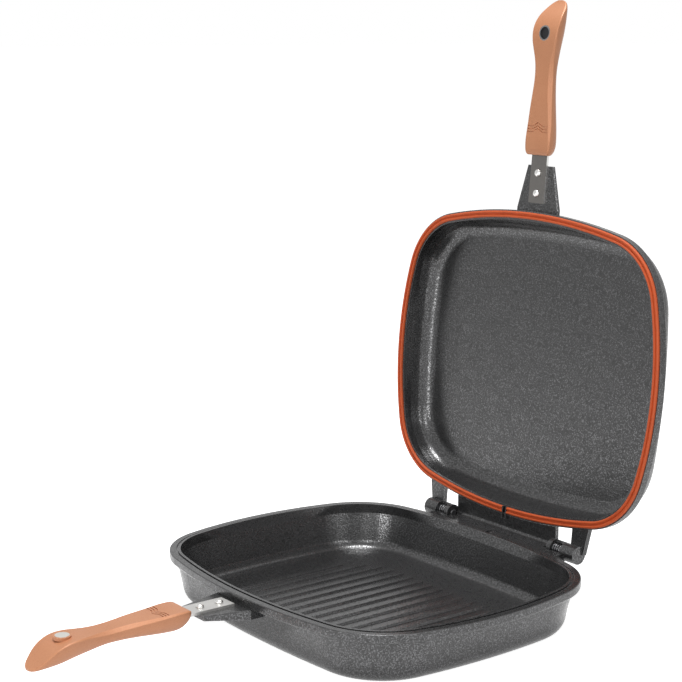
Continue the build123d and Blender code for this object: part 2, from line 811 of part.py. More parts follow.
def grip_screw(half):
    seam = half.seam
    seat = half.strap_depth + strap_thickness + screw_land
    head_top = seat + screw_head_height
    disc_at(seam, screw_y, screw_radius, half.strap_depth - screw_tip_past_strap, seat)
    disc_at(seam, screw_y, screw_head_radius, seat, head_top)
    with BuildSketch(seam.offset(head_top - screw_slot_depth)) as shape:
        with Locations((0, screw_y)):
            Rectangle(screw_slot_length, screw_slot_width)
            Rectangle(screw_slot_width, screw_slot_length)
    extrude(shape.sketch, amount=screw_slot_depth, mode=Mode.SUBTRACT)


pad_top = face_depth(lower_half, latch_out) - latch_pad_height
pad_radius = latch_plate_radius + latch_pad_rim
plate_top = pad_top - latch_plate_rise
plate_bottom = plate_top + latch_plate_thickness
cup_top = face_depth(lid_half, latch_out) - latch_cup_rise
cup_bottom = cup_top + latch_cup_thickness
magnet_radius = latch_cup_radius - latch_cup_wall
magnet_bottom = cup_bottom - latch_cup_wall

with BuildPart() as lower_grip:
    grip(lower_half, lower_strap.part)
    disc_at(lower_seam, latch_y, pad_radius, pad_top, plate_bottom + overlap)
    disc_at(lower_seam, latch_y, latch_plate_radius, plate_top, plate_bottom, Mode.SUBTRACT)
lower_grip.part.label = "lower_grip"

with BuildPart() as upper_grip:
    grip(lid_half, upper_strap.part)
    # cut from the seam inwards, as the grip's face rises beside the cup and must not cover it
    disc_at(lid_seam, latch_y, latch_cup_radius, 0, cup_bottom, Mode.SUBTRACT)
upper_grip.part.label = "upper_grip"

with BuildPart() as lower_grip_screw:
    grip_screw(lower_half)
lower_grip_screw.part.label = "lower_grip_screw"

with BuildPart() as upper_grip_screw:
    grip_screw(lid_half)
upper_grip_screw.part.label = "upper_grip_screw"

with BuildPart() as latch_plate:
    disc_at(lower_seam, latch_y, latch_plate_radius, plate_top, plate_bottom)
latch_plate.part.label = "latch_plate"

with BuildPart() as magnet_cup:
    disc_at(lid_seam, latch_y, latch_cup_radius, cup_top, cup_bottom)
    disc_at(lid_seam, latch_y, magnet_radius, cup_top, magnet_bottom, Mode.SUBTRACT)
magnet_cup.part.label = "magnet_cup"

with BuildPart() as latch_magnet:
    disc_at(lid_seam, latch_y, magnet_radius, cup_top + magnet_recess, magnet_bottom)
latch_magnet.part.label = "latch_magnet"

# ------------------------------------------------------------------ written pieces
os.makedirs("parts", exist_ok=True)
fixed_pieces = [
    lower_pan,
    lower_strap,
    lower_strap_rivets,
    lower_grip,
    lower_grip_screw,
    latch_plate,
    upper_pan,
    silicone_seal,
    upper_strap,
    upper_strap_rivets,
    upper_grip,
    upper_grip_screw,
    magnet_cup,
    latch_magnet,
]
for piece in fixed_pieces + list(pins.values()) + list(collars.values()) + list(springs.values()):
    export_step(piece.part, f"parts/{piece.part.label}.step")
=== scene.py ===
# %% [markdown]
# # A double sided flip pan, standing open
# Two shallow cast pans are hinged along one long side. The lid stands just past upright and shows
# its orange seal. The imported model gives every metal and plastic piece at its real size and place,
# so this script adds the camera, the light, the finishes, and the pieces whose looks need more
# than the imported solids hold.

# %% Load the model as a fixed frame
import math
import bmesh
import bpy
from mathutils import Matrix, Vector


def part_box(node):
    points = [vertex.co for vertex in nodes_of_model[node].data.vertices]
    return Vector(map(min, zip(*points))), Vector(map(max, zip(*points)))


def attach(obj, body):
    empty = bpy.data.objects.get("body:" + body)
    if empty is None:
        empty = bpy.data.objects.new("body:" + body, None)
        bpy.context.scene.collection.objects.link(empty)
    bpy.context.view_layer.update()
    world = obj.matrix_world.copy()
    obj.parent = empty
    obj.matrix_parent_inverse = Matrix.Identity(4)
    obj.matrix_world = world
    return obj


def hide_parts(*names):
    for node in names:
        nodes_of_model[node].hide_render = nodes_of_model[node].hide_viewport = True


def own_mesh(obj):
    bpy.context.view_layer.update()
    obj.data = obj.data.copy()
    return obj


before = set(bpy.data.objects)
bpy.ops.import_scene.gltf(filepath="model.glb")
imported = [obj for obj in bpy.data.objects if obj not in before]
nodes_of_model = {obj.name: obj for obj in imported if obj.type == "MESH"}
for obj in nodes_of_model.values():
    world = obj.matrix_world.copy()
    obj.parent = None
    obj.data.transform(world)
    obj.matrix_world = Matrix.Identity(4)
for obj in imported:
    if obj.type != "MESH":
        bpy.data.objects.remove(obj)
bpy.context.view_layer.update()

# %% [markdown]
# ## Camera
# The camera stands where the photographer stood: to the right of the handles and a little above
# the rim. Its distance and lens were solved from the pan's outline, so it is written as a place,
# two angles and a focal length in image widths.

# %% Camera
camera_azimuth, camera_elevation = math.radians(52.80), math.radians(10.54)
camera_place = (1.01036, -0.79591, 0.46037)
focal_in_widths = 2.4541
camera_back = Vector((
    math.sin(camera_azimuth) * math.cos(camera_elevation),
    -math.cos(camera_azimuth) * math.cos(camera_elevation),
    math.sin(camera_elevation),
))
camera_right = Vector((math.cos(camera_azimuth), math.sin(camera_azimuth), 0))
camera_up = camera_back.cross(camera_right)
camera_data = bpy.data.cameras.new("photo_camera")
camera_data.sensor_width = 36
camera_data.lens = focal_in_widths * camera_data.sensor_width
camera = bpy.data.objects.new("photo_camera", camera_data)
turn = Matrix((camera_right, camera_up, camera_back)).transposed()
camera.matrix_world = Matrix.Translation(camera_place) @ turn.to_4x4()
bpy.context.scene.collection.objects.link(camera)
bpy.context.scene.camera = camera
print("camera lens", round(camera_data.lens, 1), "mm")

# %% [markdown]
# ## Helpers for shader nodes
# Each finish is a node tree. Small helpers keep the cells short: one adds a node and sets its
# values, one does arithmetic, one starts a material that already has its main shader, one gives a
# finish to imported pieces, and two make and use a group of nodes.


# %% Node helpers
def add_node(tree, kind, **values):
    """Adds a node. Names in values are its properties, or its inputs when they aren't."""
    node = tree.nodes.new(kind)
    for name, value in values.items():
        if hasattr(node, name):
            setattr(node, name, value)
        else:
            node.inputs[name.replace("_", " ")].default_value = value
    return node


def math_of(tree, operation, first, second=None, clamp=False):
    """A Math node on sockets or numbers. Returns its output."""
    node = add_node(tree, "ShaderNodeMath", operation=operation, use_clamp=clamp)
    for socket, value in zip(node.inputs, (first, second)):
        if isinstance(value, bpy.types.NodeSocket):
            tree.links.new(value, socket)
        elif value is not None:
            socket.default_value = value
    return node.outputs[0]


def new_material(name):
    """An empty material. Returns it with its tree and its main shader."""
    material = bpy.data.materials.new(name)
    material.use_nodes = True
    return material, material.node_tree, material.node_tree.nodes["Principled BSDF"]


def dress(material, *names):
    """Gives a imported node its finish."""
    for name in names:
        mesh_object = nodes_of_model[name]
        if not mesh_object.material_slots:
            mesh_object.data.materials.append(material)
        for slot in mesh_object.material_slots:
            slot.material = material


def new_group(name, inputs, outputs):
    """A shader node group with float inputs and outputs. Returns the tree and its two ends."""
    group = bpy.data.node_groups.new(name, "ShaderNodeTree")
    for socket, value in inputs.items():
        made = group.interface.new_socket(socket, in_out="INPUT", socket_type="NodeSocketFloat")
        made.default_value = value
    for socket, kind in outputs.items():
        group.interface.new_socket(socket, in_out="OUTPUT", socket_type=kind)
    return group, group.nodes.new("NodeGroupInput"), group.nodes.new("NodeGroupOutput")


def use_group(tree, group, **values):
    """Adds a group's node to a tree, with its inputs set by name."""
    node = tree.nodes.new("ShaderNodeGroup")
    node.node_tree = group
    for name, value in values.items():
        node.inputs[name.replace("_", " ")].default_value = value
    return node


# %% [markdown]
# ## Shared effects
# The cast metal is sprayed with a coating full of fine pale flecks, and the same fleck at another
# size makes the sparkle of the painted grips. So the fleck is one group, made once. It mixes two
# noises: a fine one for single grains, and a broad one that lets the grains crowd here and thin
# out there. Object coordinates keep it on the metal when the lid swings.

# %% Fleck group
fleck, fleck_in, fleck_out = new_group(
    "Fleck",
    {"Grain": 900.0, "Crowding": 0.5, "Sharpness": 2.0, "Rarity": 0.5},
    {"Fleck": "NodeSocketFloat", "Height": "NodeSocketFloat"},
)
place = add_node(fleck, "ShaderNodeTexCoord")
grain = add_node(fleck, "ShaderNodeTexNoise", Detail=1.0, Roughness=0.65)
patch = add_node(fleck, "ShaderNodeTexNoise", Scale=60.0, Detail=2.0, Roughness=0.5)
crowd = add_node(fleck, "ShaderNodeMath", operation="MULTIPLY_ADD")
lift = add_node(fleck, "ShaderNodeMath", operation="SUBTRACT")
stretch = add_node(fleck, "ShaderNodeMath", operation="MULTIPLY")
centre = add_node(fleck, "ShaderNodeMath", operation="ADD", use_clamp=True)
centre.inputs[1].default_value = 0.5
fleck.links.new(place.outputs["Object"], grain.inputs["Vector"])
fleck.links.new(place.outputs["Object"], patch.inputs["Vector"])
fleck.links.new(fleck_in.outputs["Grain"], grain.inputs["Scale"])
fleck.links.new(patch.outputs["Fac"], crowd.inputs[0])
fleck.links.new(fleck_in.outputs["Crowding"], crowd.inputs[1])
fleck.links.new(grain.outputs["Fac"], crowd.inputs[2])
fleck.links.new(crowd.outputs[0], lift.inputs[0])
fleck.links.new(fleck_in.outputs["Rarity"], lift.inputs[1])
fleck.links.new(lift.outputs[0], stretch.inputs[0])
fleck.links.new(fleck_in.outputs["Sharpness"], stretch.inputs[1])
fleck.links.new(stretch.outputs[0], centre.inputs[0])
fleck.links.new(centre.outputs[0], fleck_out.inputs["Fleck"])
fleck.links.new(grain.outputs["Fac"], fleck_out.inputs["Height"])
print("fleck group:", len(fleck.nodes), "nodes")

# %% [markdown]
# Edges get a painted highlight, a paler colour. The bevel node gives the normal that a rounded edge
# would have, and where that differs from the true normal there is an edge. The result is a mask
# from 0 on flats to 1 on edges, broken up by noise so that the painted highlight isn't an even line.

# %% Painted edge highlight group
edge_painted_highlight, painted_highlight_in, painted_highlight_out = new_group(
    "Edge painted_highlight",
    {"Radius": 0.0008, "Strength": 3.0, "Break up": 300.0},
    {"Highlight": "NodeSocketFloat"},
)
place = add_node(edge_painted_highlight, "ShaderNodeTexCoord")
rounded = add_node(edge_painted_highlight, "ShaderNodeBevel", samples=4)
true_normal = add_node(edge_painted_highlight, "ShaderNodeNewGeometry")
match = add_node(edge_painted_highlight, "ShaderNodeVectorMath", operation="DOT_PRODUCT")
differ = add_node(edge_painted_highlight, "ShaderNodeMath", operation="SUBTRACT")
differ.inputs[0].default_value = 1.0
patchy = add_node(edge_painted_highlight, "ShaderNodeTexNoise", Detail=3.0)
strong = add_node(edge_painted_highlight, "ShaderNodeMath", operation="MULTIPLY")
highlighted = add_node(edge_painted_highlight, "ShaderNodeMath", operation="MULTIPLY", use_clamp=True)
edge_painted_highlight.links.new(painted_highlight_in.outputs["Radius"], rounded.inputs["Radius"])
edge_painted_highlight.links.new(rounded.outputs[0], match.inputs[0])
edge_painted_highlight.links.new(true_normal.outputs["Normal"], match.inputs[1])
edge_painted_highlight.links.new(match.outputs["Value"], differ.inputs[1])
edge_painted_highlight.links.new(place.outputs["Object"], patchy.inputs["Vector"])
edge_painted_highlight.links.new(painted_highlight_in.outputs["Break up"], patchy.inputs["Scale"])
edge_painted_highlight.links.new(differ.outputs[0], strong.inputs[0])
edge_painted_highlight.links.new(painted_highlight_in.outputs["Strength"], strong.inputs[1])
edge_painted_highlight.links.new(strong.outputs[0], highlighted.inputs[0])
edge_painted_highlight.links.new(patchy.outputs["Fac"], highlighted.inputs[1])
edge_painted_highlight.links.new(highlighted.outputs[0], painted_highlight_out.inputs["Highlight"])
print("edge wear group:", len(edge_painted_highlight.nodes), "nodes")

# %% [markdown]
# ## Non-stick coating
# The coating is nearly black, but flecks of pale mineral in it make the pan look grey from a step
# away. They also stand up a little and catch the light like mica, which is why the walls sparkle
# where they face a lamp. So the flecks drive colour, metallic, roughness and bump together.


# %% Coating
# The pale grey laid along the coating's edges is a painted highlight.
painted_highlight_grey = (0.26, 0.26, 0.265, 1)
fleck_gloss = 0.08  # flecks are smoother than the mean roughness by this, the ground rougher


def coating(name, dark, pale, roughness, bump_strength):
    """Near-black coating with pale flecks that shine more than the ground between them."""
    material, tree, shader = new_material(name)
    flecks = use_group(tree, fleck, Grain=850.0, Crowding=0.06, Sharpness=3.6, Rarity=0.55)
    colour = add_node(tree, "ShaderNodeMix", data_type="RGBA")
    colour.inputs["A"].default_value = dark
    colour.inputs["B"].default_value = pale
    # Edges are mixed towards a pale grey: a painted highlight.
    painted_highlight = use_group(tree, edge_painted_highlight, Radius=0.0009, Strength=4.0)
    edge = add_node(tree, "ShaderNodeMix", data_type="RGBA")
    edge.inputs["B"].default_value = painted_highlight_grey
    rough = add_node(
        tree,
        "ShaderNodeMapRange",
        To_Min=roughness + fleck_gloss,
        To_Max=roughness - fleck_gloss,
    )
    bump = add_node(tree, "ShaderNodeBump", Strength=bump_strength, Distance=0.0004)
    tree.links.new(flecks.outputs["Fleck"], colour.inputs["Factor"])
    tree.links.new(colour.outputs["Result"], edge.inputs["A"])
    tree.links.new(painted_highlight.outputs["Highlight"], edge.inputs["Factor"])
    tree.links.new(edge.outputs["Result"], shader.inputs["Base Color"])
    tree.links.new(flecks.outputs["Fleck"], shader.inputs["Metallic"])
    tree.links.new(flecks.outputs["Fleck"], rough.inputs["Value"])
    tree.links.new(rough.outputs["Result"], shader.inputs["Roughness"])
    tree.links.new(flecks.outputs["Height"], bump.inputs["Height"])
    tree.links.new(bump.outputs["Normal"], shader.inputs["Normal"])
    shader.inputs["Specular IOR Level"].default_value = 0.68
    return material


near_black, fleck_grey = (0.004, 0.004, 0.0041, 1), (0.15, 0.15, 0.153, 1)
pan_coating = coating("pan_coating", near_black, fleck_grey, 0.23, 0.2)
dress(pan_coating, "lower_pan", "upper_pan")
print("coating:", len(pan_coating.node_tree.nodes), "nodes")

# %% [markdown]
# ## Silicone
# Silicone rubber is matte and picks up fine dust. Two close tones and a broken roughness say that,
# while the colour stays strong.

# %% Silicone
silicone, tree, shader = new_material("orange_silicone")
flecks = use_group(tree, fleck, Grain=500.0, Crowding=0.6, Sharpness=1.6)
colour = add_node(tree, "ShaderNodeMix", data_type="RGBA")
colour.inputs["A"].default_value = (0.45, 0.058, 0.010, 1)
colour.inputs["B"].default_value = (0.61, 0.098, 0.020, 1)
rough = add_node(tree, "ShaderNodeMapRange", To_Min=0.42, To_Max=0.6)
bump = add_node(tree, "ShaderNodeBump", Strength=0.15, Distance=0.0002)
tree.links.new(flecks.outputs["Fleck"], colour.inputs["Factor"])
tree.links.new(colour.outputs["Result"], shader.inputs["Base Color"])
tree.links.new(flecks.outputs["Fleck"], rough.inputs["Value"])
tree.links.new(rough.outputs["Result"], shader.inputs["Roughness"])
tree.links.new(flecks.outputs["Height"], bump.inputs["Height"])
tree.links.new(bump.outputs["Normal"], shader.inputs["Normal"])
print("silicone:", len(tree.nodes), "nodes")

# %% [markdown]
# ## Painted grips
# The grips are moulded plastic under a satin copper-tan lacquer. Fine metallic flake gives it a
# soft sheen, the tan shifts a little in broad patches, creased edges get a paler painted highlight,
# and a thin clear coat on top adds a soft highlight.

# %% Grip lacquer
lacquer, tree, shader = new_material("copper_tan_lacquer")
place = add_node(tree, "ShaderNodeTexCoord")
patches = add_node(tree, "ShaderNodeTexNoise", Scale=22.0, Detail=3.0, Roughness=0.55)
tone = add_node(tree, "ShaderNodeMix", data_type="RGBA")
tone.inputs["A"].default_value = (0.47, 0.178, 0.076, 1)
tone.inputs["B"].default_value = (0.60, 0.255, 0.125, 1)
flecks = use_group(tree, fleck, Grain=1500.0, Crowding=0.2, Sharpness=2.5)
flake = add_node(tree, "ShaderNodeMix", data_type="RGBA")
flake.inputs["B"].default_value = (0.78, 0.42, 0.25, 1)
flake_amount = add_node(tree, "ShaderNodeMath", operation="MULTIPLY")
flake_amount.inputs[1].default_value = 0.25
# The creases are coloured paler as a painted highlight.
painted_highlight = use_group(tree, edge_painted_highlight, Radius=0.0008, Strength=2.0)
edge = add_node(tree, "ShaderNodeMix", data_type="RGBA")
edge.inputs["B"].default_value = (0.80, 0.44, 0.27, 1)
bump = add_node(tree, "ShaderNodeBump", Strength=0.08, Distance=0.0002)
tree.links.new(place.outputs["Object"], patches.inputs["Vector"])
tree.links.new(patches.outputs["Fac"], tone.inputs["Factor"])
tree.links.new(tone.outputs["Result"], flake.inputs["A"])
tree.links.new(flecks.outputs["Fleck"], flake_amount.inputs[0])
tree.links.new(flake_amount.outputs[0], flake.inputs["Factor"])
tree.links.new(flake.outputs["Result"], edge.inputs["A"])
tree.links.new(painted_highlight.outputs["Highlight"], edge.inputs["Factor"])
tree.links.new(edge.outputs["Result"], shader.inputs["Base Color"])
tree.links.new(flecks.outputs["Height"], bump.inputs["Height"])
tree.links.new(bump.outputs["Normal"], shader.inputs["Normal"])
shader.inputs["Metallic"].default_value = 0.12
shader.inputs["Roughness"].default_value = 0.46
shader.inputs["Specular IOR Level"].default_value = 0.35
shader.inputs["Coat Weight"].default_value = 0.12
shader.inputs["Coat Roughness"].default_value = 0.25
dress(lacquer, "lower_grip", "upper_grip")
print("lacquer:", len(tree.nodes), "nodes")

# %% [markdown]
# ## Bare metals
# Straps, rivets, screws, the latch and the hinge pins are all steel, each finished another way.
# One function makes them: a grain stretched along the piece for brushed steel, an even one for
# ground or plated faces, with smudges that change the roughness.


# %% Steel
def steel(name, tint, roughness, grain_scale, smudge=0.15, bump_strength=0.12):
    """Steel with its grain drawn out along an axis: a small scale gives long marks."""
    darker = 0.72  # tone of the grain's low places, as a share of the tint
    material, tree, shader = new_material(name)
    place = add_node(tree, "ShaderNodeTexCoord")
    draw_out = add_node(tree, "ShaderNodeMapping")
    draw_out.inputs["Scale"].default_value = grain_scale
    marks = add_node(tree, "ShaderNodeTexNoise", Scale=1.0, Detail=4.0, Roughness=0.7)
    smudges = add_node(tree, "ShaderNodeTexNoise", Scale=90.0, Detail=3.0)
    colour = add_node(tree, "ShaderNodeMix", data_type="RGBA")
    colour.inputs["A"].default_value = [darker * value for value in tint[:3]] + [1]
    colour.inputs["B"].default_value = tint
    smooth, smudged = roughness - smudge / 2, roughness + smudge
    rough = add_node(tree, "ShaderNodeMapRange", To_Min=smooth, To_Max=smudged)
    bump = add_node(tree, "ShaderNodeBump", Strength=bump_strength, Distance=0.0002)
    tree.links.new(place.outputs["Object"], draw_out.inputs["Vector"])
    tree.links.new(draw_out.outputs["Vector"], marks.inputs["Vector"])
    tree.links.new(place.outputs["Object"], smudges.inputs["Vector"])
    tree.links.new(marks.outputs["Fac"], colour.inputs["Factor"])
    tree.links.new(colour.outputs["Result"], shader.inputs["Base Color"])
    tree.links.new(smudges.outputs["Fac"], rough.inputs["Value"])
    tree.links.new(rough.outputs["Result"], shader.inputs["Roughness"])
    tree.links.new(marks.outputs["Fac"], bump.inputs["Height"])
    tree.links.new(bump.outputs["Normal"], shader.inputs["Normal"])
    shader.inputs["Metallic"].default_value = 1.0
    return material


along_y, along_z, even = (2500, 60, 2500), (2500, 2500, 60), (1500, 1500, 1500)
# The upper strap's dark tint is painted shade.
painted_shade_strap = steel("painted_shade_strap_steel", (0.20, 0.19, 0.18, 1), 0.36, along_z)
rivet_steel = steel("polished_rivet_steel", (0.86, 0.85, 0.83, 1), 0.24, even, 0.1, 0.05)
plain_screw = steel("screw_steel", (0.55, 0.55, 0.55, 1), 0.35, even)
dark_pin = steel("blackened_pin_steel", (0.16, 0.16, 0.165, 1), 0.35, even)
dress(steel("brushed_strap_steel", (0.72, 0.71, 0.69, 1), 0.38, along_y), "lower_strap")
dress(steel("latch_plate_steel", (0.86, 0.85, 0.80, 1), 0.34, even, 0.1, 0.05), "latch_plate")
dress(steel("cup_steel", (0.30, 0.30, 0.30, 1), 0.4, even), "magnet_cup")
dress(steel("dark_magnet_plating", (0.05, 0.05, 0.053, 1), 0.5, even), "latch_magnet")
dress(painted_shade_strap, "upper_strap")
dress(plain_screw, "lower_grip_screw", "upper_grip_screw")
dress(dark_pin, "left_hinge_pin", "right_hinge_pin", "left_pin_collar", "right_pin_collar")
print(len(bpy.data.materials), "finishes so far")

# %% [markdown]
# The upper strap gets a dark tint as painted shade, and its edges get a pale painted highlight. The
# surface direction tells them apart: the edges are the faces that look along X.

# %% Painted shade and edge highlight on the upper strap
tree = painted_shade_strap.node_tree
shader = tree.nodes["Principled BSDF"]
face = add_node(tree, "ShaderNodeTexCoord")
split = add_node(tree, "ShaderNodeSeparateXYZ")
sideways = add_node(tree, "ShaderNodeMath", operation="ABSOLUTE")
edge_highlight_mask = add_node(tree, "ShaderNodeMapRange", From_Min=0.6, From_Max=0.8)
painted_lit = add_node(tree, "ShaderNodeMix", data_type="RGBA")
painted_lit.inputs["B"].default_value = (0.80, 0.79, 0.77, 1)
painted_shade_colour = shader.inputs["Base Color"].links[0].from_socket
tree.links.new(face.outputs["Normal"], split.inputs[0])
tree.links.new(split.outputs["X"], sideways.inputs[0])
tree.links.new(sideways.outputs[0], edge_highlight_mask.inputs["Value"])
tree.links.new(edge_highlight_mask.outputs["Result"], painted_lit.inputs["Factor"])
tree.links.new(painted_shade_colour, painted_lit.inputs["A"])
tree.links.new(painted_lit.outputs["Result"], shader.inputs["Base Color"])
print("cut edges on the upper strap")

# %% [markdown]
# ## Pieces grown by Geometry Nodes
# Some pieces repeat or follow a path: two coil springs, four rivets, and the seal that runs round
# the lid. Each is a small tree with named inputs, so a size is changed in one place. The helpers
# below make a tree, run it once, and keep the result as a plain mesh with no modifier left on it.


# %% Geometry node helpers
def new_tree(name, inputs):
    """A Geometry Nodes tree with its named inputs. Returns the tree and its two ends."""
    tree = bpy.data.node_groups.new(name, "GeometryNodeTree")
    tree.interface.new_socket("Geometry", in_out="INPUT", socket_type="NodeSocketGeometry")
    for socket, kind in inputs.items():
        tree.interface.new_socket(socket, in_out="INPUT", socket_type=kind)
    tree.interface.new_socket("Geometry", in_out="OUTPUT", socket_type="NodeSocketGeometry")
    return tree, tree.nodes.new("NodeGroupInput"), tree.nodes.new("NodeGroupOutput")


def end_tree(tree, ends, last_socket):
    """Ends a tree: real geometry instead of instances, then the finish."""
    tree_in, tree_out = ends
    realize = add_node(tree, "GeometryNodeRealizeInstances")
    finish = add_node(tree, "GeometryNodeSetMaterial")
    tree.links.new(last_socket, realize.inputs["Geometry"])
    tree.links.new(realize.outputs["Geometry"], finish.inputs["Geometry"])
    tree.links.new(tree_in.outputs["Finish"], finish.inputs["Material"])
    tree.links.new(finish.outputs["Geometry"], tree_out.inputs["Geometry"])
    print(tree.name, "tree:", len(tree.nodes), "nodes")


def grow(name, start_data, tree, values, placing=Matrix()):
    """Runs a tree on start_data and keeps the result as a mesh object, put in its place."""
    source = bpy.data.objects.new(name + "_source", start_data)
    bpy.context.scene.collection.objects.link(source)
    modifier = source.modifiers.new(tree.name, "NODES")
    modifier.node_group = tree
    sockets = [item for item in tree.interface.items_tree if item.in_out == "INPUT"]
    identifiers = {item.name: item.identifier for item in sockets}
    for socket, value in values.items():
        modifier[identifiers[socket]] = value
    evaluated = source.evaluated_get(bpy.context.evaluated_depsgraph_get())
    mesh = bpy.data.meshes.new_from_object(evaluated)
    bpy.data.objects.remove(source)
    mesh.name = name
    mesh.transform(placing)
    close_and_turn_out(mesh)
    piece = bpy.data.objects.new(name, mesh)
    bpy.context.scene.collection.objects.link(piece)
    low = [round(1000 * min(v.co[axis] for v in mesh.vertices), 2) for axis in range(3)]
    high = [round(1000 * max(v.co[axis] for v in mesh.vertices), 2) for axis in range(3)]
    print(name, len(mesh.polygons), "faces, from", low, "to", high, "mm")
    return piece


def close_and_turn_out(mesh):
    """Merges seams, points the faces outwards and shades them smooth up to a sharp edge."""
    shell = bmesh.new()
    shell.from_mesh(mesh)
    bmesh.ops.remove_doubles(shell, verts=shell.verts, dist=1e-6)
    bmesh.ops.recalc_face_normals(shell, faces=shell.faces)
    shell.to_mesh(mesh)
    shell.free()
    mesh.shade_smooth()
    mesh.set_sharp_from_angle(angle=math.radians(40))


def line_of(name, points, closed=False):
    """Curve data of one straight-sided spline through the points."""
    line = bpy.data.curves.new(name, "CURVE")
    line.dimensions = "3D"
    spline = line.splines.new("POLY")
    spline.points.add(len(points) - 1)
    for point, place in zip(spline.points, points):
        point.co = (*place, 1)
    spline.use_cyclic_u = closed
    return line


# %% [markdown]
# The lid's own frame is handy for its pieces: x across, y towards the hinge and z away from the
# seam, into the lid. It stands 95 degrees open, turned about the hinge pins.

# %% Frame of the lid
open_angle = math.radians(95)
hinge_y, hinge_z = 0.142, 0.0421
hinge_drop = 0.0009  # hinge axis to the seam between the pans
lid_place = (
    Matrix.Translation((0, hinge_y, hinge_z))
    @ Matrix.Rotation(-open_angle, 4, "X")
    @ Matrix.Translation((0, -hinge_y, hinge_drop))
)
print("lid turns about", [round(v, 4) for v in (0, hinge_y, hinge_z)])

# %% [markdown]
# ## Seal
# The seal is one extruded strip of silicone with two soft ribs and a valley between them. It is
# bent round the lid and its two ends meet the drain fins at the hinge side. So it is a section
# swept along the rim's outline: four bowed sides joined by four tangent corners, set in from the
# edge by half the channel.

# %% Outline of the rim
half_width, half_depth = 0.160, 0.1315
end_steps, corner_steps, side_steps = 14, 26, 18
end_bow, side_bow, corner_radius = 0.495, 0.296, 0.0655
side_centre, end_centre = half_width - side_bow, half_depth - end_bow
span = math.hypot(side_centre, end_centre)
side_reach, end_reach = side_bow - corner_radius, end_bow - corner_radius
along = (side_reach**2 - end_reach**2 + span**2) / (2 * span)
across = math.sqrt(side_reach**2 - along**2)
corner_x = side_centre - along * side_centre / span - across * end_centre / span
corner_y = along * end_centre / span - across * side_centre / span
low_turn = math.atan2(corner_y, corner_x - side_centre)
high_turn = math.atan2(corner_y - end_centre, corner_x)


def arc(centre, radius, start, end, steps):
    """Points along an arc, without its last one."""
    turns = [start + (end - start) * step / steps for step in range(steps)]
    return [(centre[0] + radius * math.cos(t), centre[1] + radius * math.sin(t)) for t in turns]


def quarter_outline(inset, start):
    """From a turn at one end of the lid, round a corner, almost to the middle of its side."""
    return (
        arc((0, end_centre), end_bow - inset, start, high_turn, end_steps)
        + arc((corner_x, corner_y), corner_radius - inset, high_turn, low_turn, corner_steps)
        + arc((side_centre, 0), side_bow - inset, low_turn, 0, side_steps)
    )


def half_outline(inset, start_x):
    """From start_x at the hinge side, round the right of the lid, to the middle of its front."""
    back = quarter_outline(inset, math.acos(start_x / (end_bow - inset)))
    front = quarter_outline(inset, math.pi / 2)[1:]
    middle = (side_centre + side_bow - inset, 0)
    end = (0, -(end_centre + end_bow - inset))
    return back + [middle] + [(x, -y) for x, y in reversed(front)] + [end]


# %% Seal
seal_middle, seal_width, seal_break = 0.00635, 0.0056, 0.0054
seal_tip, seal_valley, seal_back = 0.0003, 0.00175, 0.0062
right_half = half_outline(seal_middle, seal_break / 2)
seal_path = right_half + [(-x, y) for x, y in reversed(right_half[:-1])]
rib_middle, rib_half, valley_half, rib_steps = 0.0017, 0.0011, 0.0004, 12
rib_line = [
    (rib_middle + rib_half * math.cos(t), seal_tip + rib_half - rib_half * math.sin(t))
    for t in [math.pi * step / rib_steps for step in range(rib_steps + 1)]
]
valley_line = [(valley_half, seal_valley), (-valley_half, seal_valley)]
seal_section = [(seal_width / 2, seal_back)] + rib_line + valley_line
seal_section += [(x - 2 * rib_middle, z) for x, z in rib_line] + [(-seal_width / 2, seal_back)]

swept, swept_in, swept_out = new_tree(
    "Swept strip",
    {"Section": "NodeSocketObject", "Finish": "NodeSocketMaterial"},
)
section_shape = add_node(swept, "GeometryNodeObjectInfo")
upright = add_node(swept, "GeometryNodeSetCurveNormal")
upright.mode = "Z_UP"
sweep = add_node(swept, "GeometryNodeCurveToMesh")
swept.links.new(swept_in.outputs["Section"], section_shape.inputs["Object"])
swept.links.new(swept_in.outputs["Geometry"], upright.inputs["Curve"])
swept.links.new(upright.outputs["Curve"], sweep.inputs["Curve"])
swept.links.new(section_shape.outputs["Geometry"], sweep.inputs["Profile Curve"])
sweep.inputs["Fill Caps"].default_value = True
end_tree(swept, (swept_in, swept_out), sweep.outputs["Mesh"])

section_line = line_of("seal_section", [(x, -z, 0) for x, z in seal_section], closed=True)
section = bpy.data.objects.new("seal_section", section_line)
bpy.context.scene.collection.objects.link(section)
seal = grow(
    "ribbed_seal",
    line_of("seal_path", [(x, y, 0) for x, y in seal_path]),
    swept,
    {"Section": section, "Finish": silicone},
    lid_place,
)
bpy.data.objects.remove(section)
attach(seal, "lid")
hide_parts("silicone_seal")

# %% [markdown]
# ## Hinge springs
# Each pin is held out by a small compression spring in its knuckle, and the window of the knuckle
# shows it. A spring is a wire wound with its end turns lying flat. The tree bends a straight line
# into that coil, point by point, and then gives it the wire's thickness. In the model the spring
# shortens as the pin is drawn in; this mesh is grown once, as long as the imported spring.

